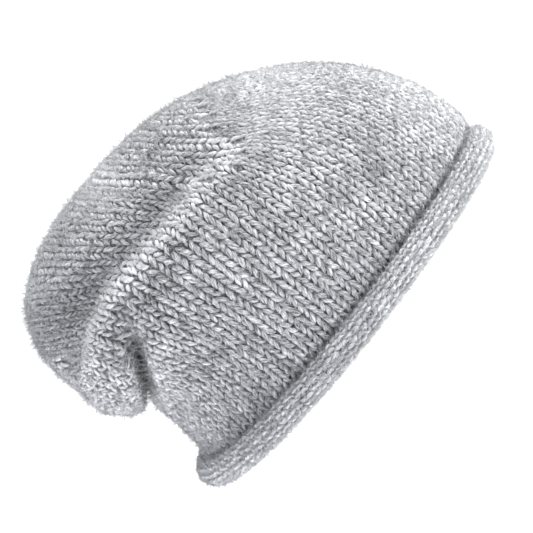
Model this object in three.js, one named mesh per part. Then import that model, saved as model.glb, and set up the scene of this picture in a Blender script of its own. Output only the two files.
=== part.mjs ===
// A slouchy knitted beanie standing on its rolled brim. Millimetres, +Z up, +X to the forehead,
// the floor at z = 0 and the origin under the middle of the hat's box.
// The knit is one tube: its lower edge curls outwards into the roll, and its upper end is drawn
// together at the tip. At the nape the loose fabric hangs down over itself in a deep fold.
import * as THREE from "three";

// Driving dimensions of the rolled brim
const rollDiameter = 14.5; // outside of the curled edge
const rollWall = 3.2; // the knit where it is stretched round the curl
const rollFlat = 0.5; // how far the roll is pressed flat on the floor
const rollCurlGap = 0.7; // between the curl's end and its first turn
const brimLength = 206; // middle of the roll, front to back
const brimWidth = 166; // middle of the roll, side to side
const brimEgg = 0.12; // share by which the brim is wider behind the ears
const seamGap = 0.3; // between the crown's lower edge and the roll

// Driving dimensions of the crown
const knitWall = 4; // thickness of the knit
const hatHeight = 141.5; // floor to top
const frontBulge = 5; // the crown's front beyond the middle of the roll
const sideBulge = 3; // the crown's sides beyond the middle of the roll
const slouchReach = 11; // the slouch's back beyond the middle of the roll

// Driving dimensions of the folds
const napeTuck = 30; // how far the nape fold runs in under the slouch
const napeDrop = 8; // how far the slouch hangs down over the nape
const napeSpread = 52; // degrees from the back where the nape fold has half its size
const creaseDepth = 8.5; // the crease round the upper crown
const creaseLip = 4.5; // height of the steep side under the crease
const creaseSlope = 11; // height of the gentle side above it
const ridgeHeight = 2; // the shoulder under the crease
const ridgeSlope = 7; // height of that shoulder
const tipDimple = 2.5; // the hollow where the last stitches are drawn together
const tipRadius = 10; // from the tip to where its hollow and gathers fade
const gatherDepth = 0.9;
const gatherCount = 12;

// How finely the faceted solids are cut
const columns = 48;
const crownRings = 40;
const rollSteps = 18;
const bendWeight = 9; // millimetres of fabric that a bend of one radian counts for
const probes = 4 * crownRings; // points along a column from which its rings are placed

const rollRadius = rollDiameter / 2;
const rollHeight = rollRadius - rollFlat;
const seamHeight = rollHeight + seamGap;
const frontReach = brimLength / 2 + frontBulge;
const backReach = brimLength / 2 + slouchReach;
const sideReach = brimWidth / 2 + sideBulge;

// The crown's outside from the roll to the tip. stage is the share of the way along the knit.
// front and back are the foremost and rearmost points of each section: shares of frontReach
// ahead of the middle, and of backReach behind it. up and backUp are their heights as shares of
// hatHeight. side is half of the section's width and drift how far it leans to the left, as
// shares of sideReach.
const crownSections = [
  { stage: 0.064, front: 0.991, up: 0.163, back: -0.855, backUp: 0.148, side: 0.959, drift: 0.0 },
  { stage: 0.131, front: 0.977, up: 0.311, back: -0.842, backUp: 0.24, side: 0.988, drift: 0.0 },
  { stage: 0.204, front: 0.907, up: 0.466, back: -0.838, backUp: 0.325, side: 1.0, drift: 0.0 },
  { stage: 0.28, front: 0.796, up: 0.611, back: -0.877, backUp: 0.364, side: 0.988, drift: 0.0 },
  { stage: 0.365, front: 0.63, up: 0.749, back: -0.943, backUp: 0.403, side: 0.953, drift: 0.0 },
  { stage: 0.47, front: 0.38, up: 0.883, back: -0.987, backUp: 0.442, side: 0.895, drift: 0.0 },
  { stage: 0.59, front: 0.056, up: 0.975, back: -1.0, backUp: 0.488, side: 0.802, drift: 0.02 },
  { stage: 0.717, front: -0.298, up: 1.0, back: -1.0, backUp: 0.565, side: 0.686, drift: 0.07 },
  { stage: 0.83, front: -0.605, up: 0.982, back: -1.0, backUp: 0.629, side: 0.535, drift: 0.15 },
  { stage: 0.916, front: -0.833, up: 0.91, back: -1.0, backUp: 0.68, side: 0.37, drift: 0.22 },
  { stage: 0.975, front: -0.945, up: 0.815, back: -0.995, backUp: 0.72, side: 0.185, drift: 0.27 },
  { stage: 1.0, front: -0.983, up: 0.765, back: -0.983, backUp: 0.765, side: 0.0, drift: 0.3 },
];

// The hem, from the seam over the roll. up is a share of rollRadius above the seam, and out is
// the share of the way from the seam out to the first of the crown's sections.
const hemRows = [
  { stage: 0.0, up: 0.0, out: 0.0 },
  { stage: 0.009, up: 0.37, out: 0.0 },
  { stage: 0.016, up: 0.7, out: 0.04 },
  { stage: 0.024, up: 1.03, out: 0.24 },
  { stage: 0.033, up: 1.18, out: 0.56 },
  { stage: 0.044, up: 1.46, out: 0.85 },
];

// The nape fold at the middle of the back. offset is the share of the way along the knit from
// the fold's deepest place, tuck a share of napeTuck towards the middle of the hat, and lift a
// share of napeDrop upwards.
const napeFold = [
  { offset: -0.16, tuck: 0.0, lift: 0.0 },
  { offset: -0.12, tuck: -0.01, lift: 0.14 },
  { offset: -0.09, tuck: 0.03, lift: 0.6 },
  { offset: -0.06, tuck: 0.29, lift: 0.82 },
  { offset: -0.03, tuck: 0.76, lift: 0.85 },
  { offset: 0.0, tuck: 1.0, lift: 1.1 },
  { offset: 0.03, tuck: 0.88, lift: 1.2 },
  { offset: 0.06, tuck: 0.68, lift: 0.62 },
  { offset: 0.09, tuck: 0.5, lift: -0.15 },
  { offset: 0.12, tuck: 0.36, lift: -0.92 },
  { offset: 0.15, tuck: 0.22, lift: -1.0 },
  { offset: 0.19, tuck: 0.1, lift: -0.56 },
  { offset: 0.24, tuck: 0.0, lift: -0.1 },
  { offset: 0.3, tuck: -0.02, lift: 0.06 },
  { offset: 0.4, tuck: 0.0, lift: 0.0 },
];
const napeStage = 0.285; // the fold's deepest place at the middle of the back
const napeRise = 0.62; // stages that it would climb on the way from the back to the front
const napeTaper = 0.5; // share of its length along the knit that is left at its ends

// The foot of the crease round the upper crown, seen from the side. x is a share of frontReach
// ahead of the middle and of backReach behind it, up a share of hatHeight, and deep a share of
// creaseDepth.
const creaseLine = [
  { x: -1.1, up: 0.57, deep: 0.0 },
  { x: -0.98, up: 0.6, deep: 0.1 },
  { x: -0.86, up: 0.65, deep: 0.6 },
  { x: -0.73, up: 0.71, deep: 0.95 },
  { x: -0.57, up: 0.735, deep: 1.0 },
  { x: -0.15, up: 0.735, deep: 1.0 },
  { x: 0.09, up: 0.728, deep: 0.75 },
  { x: 0.29, up: 0.7, deep: 0.3 },
  { x: 0.46, up: 0.67, deep: 0.0 },
  { x: 1.1, up: 0.64, deep: 0.0 },
];
const creaseLeft = 0.8; // share of the crease's depth on the left side

const lerp = THREE.MathUtils.lerp;
const ramp = THREE.MathUtils.smoothstep;
const bump = (distance, reach) => Math.exp(-((distance / reach) ** 2));

// A smooth curve through one column of a table: cubic spans, whose slopes come from the rows on
// both sides. Outside of the table it stays at its ends.
function along(table, key, column, at) {
  const last = table.length - 1;
  let i = 0;
  while (i < last - 1 && at > table[i + 1][key]) i += 1;
  const slope = (k) => {
    const low = table[Math.max(k - 1, 0)];
    const high = table[Math.min(k + 1, last)];
    return (high[column] - low[column]) / (high[key] - low[key]);
  };
  const span = table[i + 1][key] - table[i][key];
  const u = THREE.MathUtils.clamp((at - table[i][key]) / span, 0, 1);
  const a = table[i][column];
  const b = table[i + 1][column];
  const startSlope = slope(i) * span;
  const endSlope = slope(i + 1) * span;
  const bend = 3 * (b - a) - 2 * startSlope - endSlope;
  const twist = 2 * (a - b) + startSlope + endSlope;
  return a + u * (startSlope + u * (bend + u * twist));
}

const fromMiddle = (share) => share * (share > 0 ? frontReach : backReach);

// Each section in millimetres: the hem's rows first, then the crown's.
function sectionRows() {
  const crown = crownSections.map((row) => ({
    stage: row.stage,
    front: fromMiddle(row.front),
    up: row.up * hatHeight,
    back: fromMiddle(row.back),
    backUp: row.backUp * hatHeight,
    side: row.side * sideReach,
    drift: row.drift * sideReach,
  }));
  const seat = rollRadius - rollWall;
  const hem = hemRows.map((row) => ({
    stage: row.stage,
    front: lerp(brimLength / 2 - seat, crown[0].front, row.out),
    up: seamHeight + row.up * rollRadius,
    back: lerp(seat - brimLength / 2, crown[0].back, row.out),
    backUp: seamHeight + row.up * rollRadius,
    side: lerp(brimWidth / 2 - seat, crown[0].side, row.out),
    drift: 0,
  }));
  return [...hem, ...crown];
}
const rows = sectionRows();
const tip = new THREE.Vector3(rows.at(-1).front, rows.at(-1).drift, rows.at(-1).up);
const tipInwards = new THREE.Vector3(0, 0, hatHeight / 2).sub(tip).normalize();

// How far the nape fold moves the knit inwards and upwards. It is whole at the middle of the
// back, and shorter and shallower towards its ends beside the ears.
function napeMove(stage, turn) {
  const fromBack = Math.PI - Math.abs(Math.atan2(Math.sin(turn), Math.cos(turn)));
  const share = THREE.MathUtils.radToDeg(fromBack) / napeSpread;
  const size = 1 / (1 + share ** 6);
  const deepest = napeStage + napeRise * Math.sin(fromBack / 2) ** 1.5;
  const offset = (stage - deepest) / lerp(napeTaper, 1, size);
  return {
    tuck: along(napeFold, "offset", "tuck", offset) * napeTuck * size,
    lift: along(napeFold, "offset", "lift", offset) * napeDrop * size,
  };
}

// How far the crease round the upper crown moves a point inwards, or its shoulder outwards.
function creaseMove(point) {
  const x = point.x / (point.x > 0 ? frontReach : backReach);
  const above = point.z - along(creaseLine, "x", "up", x) * hatHeight;
  const deep = along(creaseLine, "x", "deep", x) * (point.y > 0 ? creaseLeft : 1);
  const aside = ramp(Math.abs(point.y), 0, sideReach / 4);
  const steep = ramp(above, -creaseLip / 4, creaseLip);
  const gentle = bump(Math.max(above - creaseLip, 0), creaseSlope);
  const shoulder = bump(above + ridgeSlope / 2, ridgeSlope / 2);
  return (creaseDepth * steep * gentle - ridgeHeight * shoulder) * deep * aside;
}

// A point of the crown's outside without the gathers. turn is in radians from the forehead, left
// side first.
function smoothPoint(stage, turn) {
  const at = (column) => along(rows, "stage", column, stage);
  const ahead = (1 + Math.cos(turn)) / 2;
  const egg = 1 - brimEgg * (1 - stage) * Math.cos(turn);
  const point = new THREE.Vector3(
    lerp(at("back"), at("front"), ahead),
    at("drift") + at("side") * Math.sin(turn) * egg,
    lerp(at("backUp"), at("up"), ahead),
  );
  const nape = napeMove(stage, turn);
  const inwards = nape.tuck + creaseMove(point);
  point.x -= inwards * Math.cos(turn);
  point.y -= inwards * Math.sin(turn);
  point.z += nape.lift;
  return point.addScaledVector(tipInwards, tipDimple * bump(point.distanceTo(tip), tipRadius));
}

// The gathers are folds that run out from the tip, on the outside only.
function crownPoint(stage, turn) {
  const point = smoothPoint(stage, turn);
  const fades = bump(point.distanceTo(tip) - tipRadius, tipRadius / 2);
  return point.addScaledVector(tipInwards, gatherDepth * Math.cos(gatherCount * turn) * fades);
}

// The crown's outward direction at a point, from its neighbours along and around the knit.
function crownNormal(stage, turn) {
  const near = 0.01;
  const high = Math.min(stage + near, 1 - near);
  const low = Math.max(high - 2 * near, 0);
  const up = smoothPoint(high, turn).sub(smoothPoint(low, turn));
  const around = smoothPoint(stage, turn + near).sub(smoothPoint(stage, turn - near));
  return around.cross(up).normalize();
}

// The stages of one column's rings, from the seam to just before the tip: evenly spaced along
// the knit, and closer together where it bends.
function ringStages(turn) {
  const points = [];
  for (let i = 0; i <= probes; i += 1) points.push(crownPoint(i / probes, turn));
  const passed = [0];
  let heading = points[1].clone().sub(points[0]);
  for (let i = 1; i <= probes; i += 1) {
    const next = points[i].clone().sub(points[i - 1]);
    passed.push(passed[i - 1] + next.length() + bendWeight * next.angleTo(heading));
    heading = next;
  }
  const stages = [];
  let i = 0;
  for (let ring = 0; ring < crownRings; ring += 1) {
    const goal = (ring / crownRings) * passed[probes];
    while (passed[i + 1] < goal) i += 1;
    stages.push((i + (goal - passed[i]) / (passed[i + 1] - passed[i])) / probes);
  }
  return stages;
}

// One closed shell: the outside from the seam to the tip, and the inside back down to the seam.
function crownGeometry() {
  const outside = [];
  const inside = [];
  for (let column = 0; column < columns; column += 1) {
    const turn = (column / columns) * 2 * Math.PI;
    ringStages(turn).forEach((stage, ring) => {
      const normal = crownNormal(stage, turn);
      if (ring === 0) normal.setZ(0).normalize();
      outside[ring * columns + column] = crownPoint(stage, turn);
      inside[ring * columns + column] = smoothPoint(stage, turn).addScaledVector(normal, -knitWall);
    });
  }
  const outerTip = crownPoint(1, 0);
  const innerTip = outerTip.clone().addScaledVector(tipInwards, knitWall);
  const points = [...outside, ...inside, outerTip, innerTip];
  const faces = [];
  const innerStart = outside.length;
  for (let column = 0; column < columns; column += 1) {
    const next = (column + 1) % columns;
    for (let ring = 0; ring < crownRings - 1; ring += 1) {
      const low = ring * columns;
      const high = low + columns;
      const corners = [low + column, low + next, high + next, high + column];
      const longer = points[corners[0]].distanceTo(points[corners[2]]);
      if (longer > points[corners[1]].distanceTo(points[corners[3]])) corners.push(corners.shift());
      const [a, b, c, d] = corners;
      faces.push(a, b, c, a, c, d);
      const [e, f, g, h] = corners.map((corner) => corner + innerStart);
      faces.push(e, g, f, e, h, g);
    }
    const last = (crownRings - 1) * columns;
    faces.push(last + column, last + next, 2 * innerStart);
    faces.push(innerStart + last + next, innerStart + last + column, 2 * innerStart + 1);
    faces.push(next, column, innerStart + column);
    faces.push(next, innerStart + column, innerStart + next);
  }
  return closedGeometry(points, faces);
}

// The roll's section, a curled band: along its outside from the seam down under the edge, up in
// front and in again, and back along its inside. Each entry is [outwards, up] from the middle.
function rollSection() {
  const wide = rollRadius - rollWall / 2;
  const tight = wide - rollWall - rollCurlGap;
  const curlsFrom = 435;
  const start = 180;
  const end = 540;
  const flatHalf = Math.sqrt(rollRadius ** 2 - rollHeight ** 2);
  const outside = [];
  const inside = [];
  for (let i = 0; i <= rollSteps; i += 1) {
    const angle = lerp(start, end, i / rollSteps);
    const radius = lerp(wide, tight, ramp(angle, curlsFrom, end));
    const across = Math.cos(THREE.MathUtils.degToRad(angle));
    const up = Math.sin(THREE.MathUtils.degToRad(angle));
    const onFloor = (radius + rollWall / 2) * up < -rollHeight;
    outside.push(
      onFloor
        ? [Math.sign(across) * flatHalf, -rollHeight]
        : [(radius + rollWall / 2) * across, (radius + rollWall / 2) * up],
    );
    inside.push([(radius - rollWall / 2) * across, (radius - rollWall / 2) * up]);
  }
  return [...outside, ...inside.reverse()];
}

// A point of the roll's middle line, with the direction that points away from the hat's middle.
function brimLine(turn) {
  const ahead = Math.cos(turn);
  const sideways = Math.sin(turn);
  const alongX = (-brimLength / 2) * sideways;
  const alongY = (brimWidth / 2) * (ahead - brimEgg * Math.cos(2 * turn));
  return {
    middle: new THREE.Vector3(
      (brimLength / 2) * ahead,
      (brimWidth / 2) * sideways * (1 - brimEgg * ahead),
      rollHeight,
    ),
    outwards: new THREE.Vector3(alongY, -alongX, 0).normalize(),
  };
}

// The curled band carried once round the brim.
function brimGeometry() {
  const section = rollSection();
  const size = section.length;
  const points = [];
  const faces = [];
  for (let column = 0; column < columns; column += 1) {
    const { middle, outwards } = brimLine((column / columns) * 2 * Math.PI);
    for (const [out, up] of section) {
      const point = middle.clone().addScaledVector(outwards, out);
      point.z += up;
      points.push(point);
    }
    const here = column * size;
    const next = ((column + 1) % columns) * size;
    for (let i = 0; i < size; i += 1) {
      const j = (i + 1) % size;
      faces.push(here + i, next + i, next + j, here + i, next + j, here + j);
    }
  }
  return closedGeometry(points, faces);
}

function closedGeometry(points, faces) {
  const geometry = new THREE.BufferGeometry().setFromPoints(points);
  geometry.setIndex(faces);
  geometry.computeVertexNormals();
  return geometry;
}

function knitPiece(name, geometry, colour) {
  const material = new THREE.MeshStandardMaterial({ color: colour, roughness: 0.95, metalness: 0 });
  const piece = new THREE.Mesh(geometry, material);
  piece.name = name;
  return piece;
}

const beanie = new THREE.Group();
beanie.add(knitPiece("crown", crownGeometry(), 0xb4b5b9));
beanie.add(knitPiece("rolled_brim", brimGeometry(), 0xacadb0));
const box = new THREE.Box3().setFromObject(beanie);
beanie.position.set(-(box.min.x + box.max.x) / 2, -(box.min.y + box.max.y) / 2, -box.min.z);

export default beanie;
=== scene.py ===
import math

import bpy
import numpy as np
from mathutils import Matrix, Vector


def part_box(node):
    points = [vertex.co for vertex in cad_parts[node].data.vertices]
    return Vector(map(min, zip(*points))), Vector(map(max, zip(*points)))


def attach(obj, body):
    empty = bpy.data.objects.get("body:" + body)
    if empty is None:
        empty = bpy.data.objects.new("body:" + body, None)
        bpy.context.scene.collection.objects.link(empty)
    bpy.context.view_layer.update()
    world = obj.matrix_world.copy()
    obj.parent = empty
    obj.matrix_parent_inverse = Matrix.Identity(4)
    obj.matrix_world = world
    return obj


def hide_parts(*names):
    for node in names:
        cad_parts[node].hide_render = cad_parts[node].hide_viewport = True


# A slouchy beanie in heather wool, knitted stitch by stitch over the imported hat.
# The hat's own shape is worked out in millimetres, and every mesh is made in metres.
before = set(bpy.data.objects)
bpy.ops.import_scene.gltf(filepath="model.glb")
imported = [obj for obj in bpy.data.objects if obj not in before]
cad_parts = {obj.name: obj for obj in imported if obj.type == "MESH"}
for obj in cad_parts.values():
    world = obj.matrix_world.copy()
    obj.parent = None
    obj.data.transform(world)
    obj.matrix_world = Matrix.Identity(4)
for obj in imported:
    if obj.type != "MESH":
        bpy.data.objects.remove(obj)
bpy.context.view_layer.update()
mm = 0.001
random = np.random.default_rng(21)

# The camera sees the hat's right side, rolled as the hat lies in the picture
camera = {
    "lookAt": (-7.5, 0.0, 48.1),  # mm, the point in the middle of the picture
    "distance": 1300.0,
    "fieldWidth": 258.7,  # mm across the picture at that distance
    "elevation": 6.5,  # degrees above the floor
    "roll": 51.12,  # degrees that the hat is turned in the picture
    "sensorWidth": 36,  # mm
    "sees": (0.05, 20),  # m, nearest and furthest
}


def placeCamera(plan):
    lift = math.radians(plan["elevation"])
    roll = math.radians(plan["roll"])
    back = Vector((0, -math.cos(lift), math.sin(lift)))
    levelRight = Vector((1, 0, 0))
    levelUp = Vector((0, math.sin(lift), math.cos(lift)))
    right = math.cos(roll) * levelRight - math.sin(roll) * levelUp
    up = math.sin(roll) * levelRight + math.cos(roll) * levelUp
    lens = bpy.data.cameras.new("photoCamera")
    lens.sensor_width = plan["sensorWidth"]
    lens.lens = lens.sensor_width * plan["distance"] / plan["fieldWidth"]
    lens.clip_start, lens.clip_end = plan["sees"]
    holder = bpy.data.objects.new("photoCamera", lens)
    bpy.context.scene.collection.objects.link(holder)
    place = Vector(plan["lookAt"]) * mm + back * plan["distance"] * mm
    turned = Matrix((right, up, back)).transposed().to_4x4()
    holder.matrix_world = Matrix.Translation(place) @ turned
    bpy.context.scene.camera = holder


placeCamera(camera)
print("camera placed")

# The outside of the hat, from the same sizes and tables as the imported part
hat = {
    "brimLength": 206,  # middle of the roll, front to back
    "brimWidth": 166,
    "brimEgg": 0.12,
    "rollRadius": 7.25,
    "rollWall": 3.2,
    "rollFlat": 0.5,
    "seamGap": 0.3,
    "height": 141.5,
    "frontReach": 108,
    "backReach": 114,
    "sideReach": 86,
    "tipDimple": 2.5,
    "tipRadius": 10,
    "gatherDepth": 0.9,
    "gatherCount": 12,
    # stage along the knit, front, its height, back, its height, half width, lean to the left
    "sections": [
        (0.064, 0.991, 0.163, -0.855, 0.148, 0.959, 0.0),
        (0.131, 0.977, 0.311, -0.842, 0.24, 0.988, 0.0),
        (0.204, 0.907, 0.466, -0.838, 0.325, 1.0, 0.0),
        (0.28, 0.796, 0.611, -0.877, 0.364, 0.988, 0.0),
        (0.365, 0.63, 0.749, -0.943, 0.403, 0.953, 0.0),
        (0.47, 0.38, 0.883, -0.987, 0.442, 0.895, 0.0),
        (0.59, 0.056, 0.975, -1.0, 0.488, 0.802, 0.02),
        (0.717, -0.298, 1.0, -1.0, 0.565, 0.686, 0.07),
        (0.83, -0.605, 0.982, -1.0, 0.629, 0.535, 0.15),
        (0.916, -0.833, 0.91, -1.0, 0.68, 0.37, 0.22),
        (0.975, -0.945, 0.815, -0.995, 0.72, 0.185, 0.27),
        (1.0, -0.983, 0.765, -0.983, 0.765, 0.0, 0.3),
    ],
    # stage, height above the seam in roll radii, share of the way out to the first section
    "hem": [
        (0.0, 0.0, 0.0),
        (0.009, 0.37, 0.0),
        (0.016, 0.7, 0.04),
        (0.024, 1.03, 0.24),
        (0.033, 1.18, 0.56),
        (0.044, 1.46, 0.85),
    ],
}

folds = {
    "napeTuck": 30,
    "napeDrop": 8,
    "napeSpread": 52,
    "napeStage": 0.285,
    "napeRise": 0.62,
    "napeTaper": 0.5,
    "napeEnds": 6,  # the higher, the more sudden the fold ends at the sides
    "napeClimb": 1.5,  # how late it rises towards the sides
    # share of the way along the knit from the fold's middle, tuck, lift
    "napeFold": [
        (-0.16, 0.0, 0.0),
        (-0.12, -0.01, 0.14),
        (-0.09, 0.03, 0.6),
        (-0.06, 0.29, 0.82),
        (-0.03, 0.76, 0.85),
        (0.0, 1.0, 1.1),
        (0.03, 0.88, 1.2),
        (0.06, 0.68, 0.62),
        (0.09, 0.5, -0.15),
        (0.12, 0.36, -0.92),
        (0.15, 0.22, -1.0),
        (0.19, 0.1, -0.56),
        (0.24, 0.0, -0.1),
        (0.3, -0.02, 0.06),
        (0.4, 0.0, 0.0),
    ],
    "creaseDepth": 8.5,
    "creaseLip": 4.5,
    "creaseSlope": 11,
    "creaseLeft": 0.8,
    "ridgeHeight": 2,
    "ridgeSlope": 7,
    # place from back to front, height, depth
    "creaseLine": [
        (-1.1, 0.57, 0.0),
        (-0.98, 0.6, 0.1),
        (-0.86, 0.65, 0.6),
        (-0.73, 0.71, 0.95),
        (-0.57, 0.735, 1.0),
        (-0.15, 0.735, 1.0),
        (0.09, 0.728, 0.75),
        (0.29, 0.7, 0.3),
        (0.46, 0.67, 0.0),
        (1.1, 0.64, 0.0),
    ],
}

rollHeight = hat["rollRadius"] - hat["rollFlat"]
lowestFibre = -1.4  # mm, the brim's loops and stray fibres end here
topStage = 0.9995  # just short of the tip
brimLow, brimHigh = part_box("rolled_brim")
hatMiddle = np.array([(brimLow.x + brimHigh.x) / 2, (brimLow.y + brimHigh.y) / 2, brimLow.z]) / mm


def through(table, column, at):
    # a smooth curve through one column of a table, against its first column
    keys = np.array([row[0] for row in table], float)
    values = np.array([row[column] for row in table], float)
    count = len(keys)
    low = np.maximum(np.arange(count) - 1, 0)
    high = np.minimum(np.arange(count) + 1, count - 1)
    slopes = (values[high] - values[low]) / (keys[high] - keys[low])
    at = np.asarray(at, float)
    i = np.clip(np.searchsorted(keys, at, side="right") - 1, 0, count - 2)
    span = keys[i + 1] - keys[i]
    u = np.clip((at - keys[i]) / span, 0, 1)
    a, b = values[i], values[i + 1]
    start, end = slopes[i] * span, slopes[i + 1] * span
    return a + u * (start + u * (3 * (b - a) - 2 * start - end + u * (2 * (a - b) + start + end)))


def smoothStep(at, low, high):
    u = np.clip((at - low) / (high - low), 0, 1)
    return u * u * (3 - 2 * u)


def bump(distance, reach):
    return np.exp(-((distance / reach) ** 2))


def sectionTable():
    # each section in millimetres: stage, front, up, back, up at the back, half width, lean
    reach = lambda share: share * (hat["frontReach"] if share > 0 else hat["backReach"])
    tall, side = hat["height"], hat["sideReach"]
    crown = [
        (s, reach(f), u * tall, reach(b), v * tall, w * side, d * side)
        for s, f, u, b, v, w, d in hat["sections"]
    ]
    seat = hat["rollRadius"] - hat["rollWall"]
    seam = rollHeight + hat["seamGap"]
    mix = lambda a, b, share: a + (b - a) * share
    hem = [
        (
            s,
            mix(hat["brimLength"] / 2 - seat, crown[0][1], out),
            seam + up * hat["rollRadius"],
            mix(seat - hat["brimLength"] / 2, crown[0][3], out),
            seam + up * hat["rollRadius"],
            mix(hat["brimWidth"] / 2 - seat, crown[0][5], out),
            0,
        )
        for s, up, out in hat["hem"]
    ]
    return hem + crown


sections = sectionTable()
tip = np.array([sections[-1][1], sections[-1][6], sections[-1][2]])
tipInwards = np.array([0, 0, hat["height"] / 2]) - tip
tipInwards /= np.linalg.norm(tipInwards)


def napeMove(stage, turn):
    fromBack = math.pi - np.abs(np.arctan2(np.sin(turn), np.cos(turn)))
    size = 1 / (1 + (np.degrees(fromBack) / folds["napeSpread"]) ** folds["napeEnds"])
    deepest = folds["napeStage"] + folds["napeRise"] * np.sin(fromBack / 2) ** folds["napeClimb"]
    offset = (stage - deepest) / (folds["napeTaper"] + (1 - folds["napeTaper"]) * size)
    tuck = through(folds["napeFold"], 1, offset) * folds["napeTuck"] * size
    lift = through(folds["napeFold"], 2, offset) * folds["napeDrop"] * size
    return tuck, lift


def creaseMove(point):
    x = point[..., 0] / np.where(point[..., 0] > 0, hat["frontReach"], hat["backReach"])
    above = point[..., 2] - through(folds["creaseLine"], 1, x) * hat["height"]
    deep = through(folds["creaseLine"], 2, x) * np.where(point[..., 1] > 0, folds["creaseLeft"], 1)
    aside = smoothStep(np.abs(point[..., 1]), 0, hat["sideReach"] / 4)
    steep = smoothStep(above, -folds["creaseLip"] / 4, folds["creaseLip"])
    gentle = bump(np.maximum(above - folds["creaseLip"], 0), folds["creaseSlope"])
    shoulder = bump(above + folds["ridgeSlope"] / 2, folds["ridgeSlope"] / 2)
    return (folds["creaseDepth"] * steep * gentle - folds["ridgeHeight"] * shoulder) * deep * aside


def hatPoint(stage, turn, folded=True):
    # a point of the hat's outside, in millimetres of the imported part; turn starts at the forehead
    stage, turn = np.broadcast_arrays(np.asarray(stage, float), np.asarray(turn, float))
    at = [through(sections, column, stage) for column in range(1, 7)]
    ahead = (1 + np.cos(turn)) / 2
    egg = 1 - hat["brimEgg"] * (1 - stage) * np.cos(turn)
    x = at[2] + (at[0] - at[2]) * ahead
    y = at[5] + at[4] * np.sin(turn) * egg
    z = at[3] + (at[1] - at[3]) * ahead
    point = np.stack([x, y, z], axis=-1)
    if not folded:
        return point + hatMiddle
    tuck, lift = napeMove(stage, turn)
    inwards = tuck + creaseMove(point)
    point[..., 0] -= inwards * np.cos(turn)
    point[..., 1] -= inwards * np.sin(turn)
    point[..., 2] += lift
    fromTip = np.linalg.norm(point - tip, axis=-1)
    point += tipInwards * (hat["tipDimple"] * bump(fromTip, hat["tipRadius"]))[..., None]
    fromTip = np.linalg.norm(point - tip, axis=-1)
    fades = bump(fromTip - hat["tipRadius"], hat["tipRadius"] / 2)
    gather = hat["gatherDepth"] * np.cos(hat["gatherCount"] * turn) * fades
    return point + tipInwards * gather[..., None] + hatMiddle


def unit(vectors):
    return vectors / np.maximum(np.linalg.norm(vectors, axis=-1, keepdims=True), 1e-9)


def hatNormal(stage, turn, near=0.006):
    high = np.minimum(stage + near, 1 - near)
    low = np.maximum(high - 2 * near, 0)
    upwards = hatPoint(high, turn) - hatPoint(low, turn)
    around = hatPoint(stage, turn + near) - hatPoint(stage, turn - near)
    return unit(np.cross(around, upwards))


def unfoldedNormal(stage, turn, near=1e-3):
    high = np.minimum(stage + near, topStage)
    upwards = hatPoint(high, turn, False) - hatPoint(stage - near, turn, False)
    around = hatPoint(stage, turn + near, False) - hatPoint(stage, turn - near, False)
    return unit(np.cross(around, upwards))


# How the knit runs over the hat: columns of stitches are wales, and rows cross them
knit = {
    "wales": 84,  # round the brim
    "hemStage": 0.02,  # the first row shows here, over the roll
    "underHem": 0.012,  # how much lower a wale may still start
    "lastStage": 0.985,
    "ends": (0.002, 0.997),  # stages that no stitch passes
    # stage, distance between wales and height of a row, in millimetres
    "gauge": [(0.0, 6.9, 3.8), (0.36, 6.9, 3.8), (0.5, 7.6, 3.6), (0.8, 7.4, 3.4), (1.0, 6.2, 3.2)],
    # in distances between wales: a wale ends where it comes this close to another, and a new one
    # starts this far beside a wale, where nothing is nearer than the widest gap
    "closest": 0.62,
    "beside": 0.88,
    "widest": 0.74,
    "newStages": (0.03, 0.96),  # over the hem, and the last for a new wale
    "shortest": 9,  # steps of a new wale
    "mostSteps": 600,
    "step": 1.0,  # mm
    "tipStop": 5.0,  # mm from the tip where the wales end
    "tipPull": 34.0,  # mm from the tip within which they turn to it
    "frontBlend": (10, 70),  # mm forwards, where the wales of the dome stop leaning from the side
    "leftBlend": (-0.1, 0.4),  # how far a place faces left, where they turn to the tip
    "creaseRaise": 8,  # mm, where the crease is faint
    "creaseBand": (4, 16),  # mm in which the lean changes, and how much more where it is faint
    # how far the wales lean back, in degrees, at places seen from the right: x and height in mm
    "bodyLean": [(0, 30, 0), (0, 75, 0), (60, 40, 1), (95, 40, 5), (50, 85, 9), (-72, 25, -9)]
    + [(-50, 45, 2), (-60, 75, 16), (-78, 88, 31), (-30, 90, 4), (-100, 80, 30), (-100, 60, 20)],
    "domeLean": [(-20, 122, 41), (20, 117, 41), (55, 105, 43), (-60, 118, 44), (-90, 112, 52)]
    + [(-105, 90, 54), (-105, 70, 50)],
    "leanReach": 24.0,  # mm that each of those places counts for
}


def leanAt(marks, point):
    total, weights = 0.0, 1e-9
    for x, z, lean in marks:
        away = (point[..., 0] - x) ** 2 + (point[..., 2] - z) ** 2
        near = np.exp(-away / knit["leanReach"] ** 2) + 1e-6
        total = total + near * lean
        weights = weights + near
    return np.radians(total / weights)


def onSurface(vector, normal):
    return unit(vector - (vector * normal).sum(-1, keepdims=True) * normal)


def inSide(lean, normal):
    # the surface direction that looks tilted back by lean, seen from the right
    flat = np.stack([np.cos(lean), np.zeros_like(lean), np.sin(lean)], axis=-1)
    return unit(np.cross(normal, flat))


def tilted(lean, normal):
    return onSurface(np.stack([-np.sin(lean), np.zeros_like(lean), np.cos(lean)], axis=-1), normal)


def blend(one, two, share):
    return unit(one + (two - one) * share[..., None])


knitTop = 0.999  # the field's last stage
wayUp = slice(7, 10)  # the field's columns for the wale's direction


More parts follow.
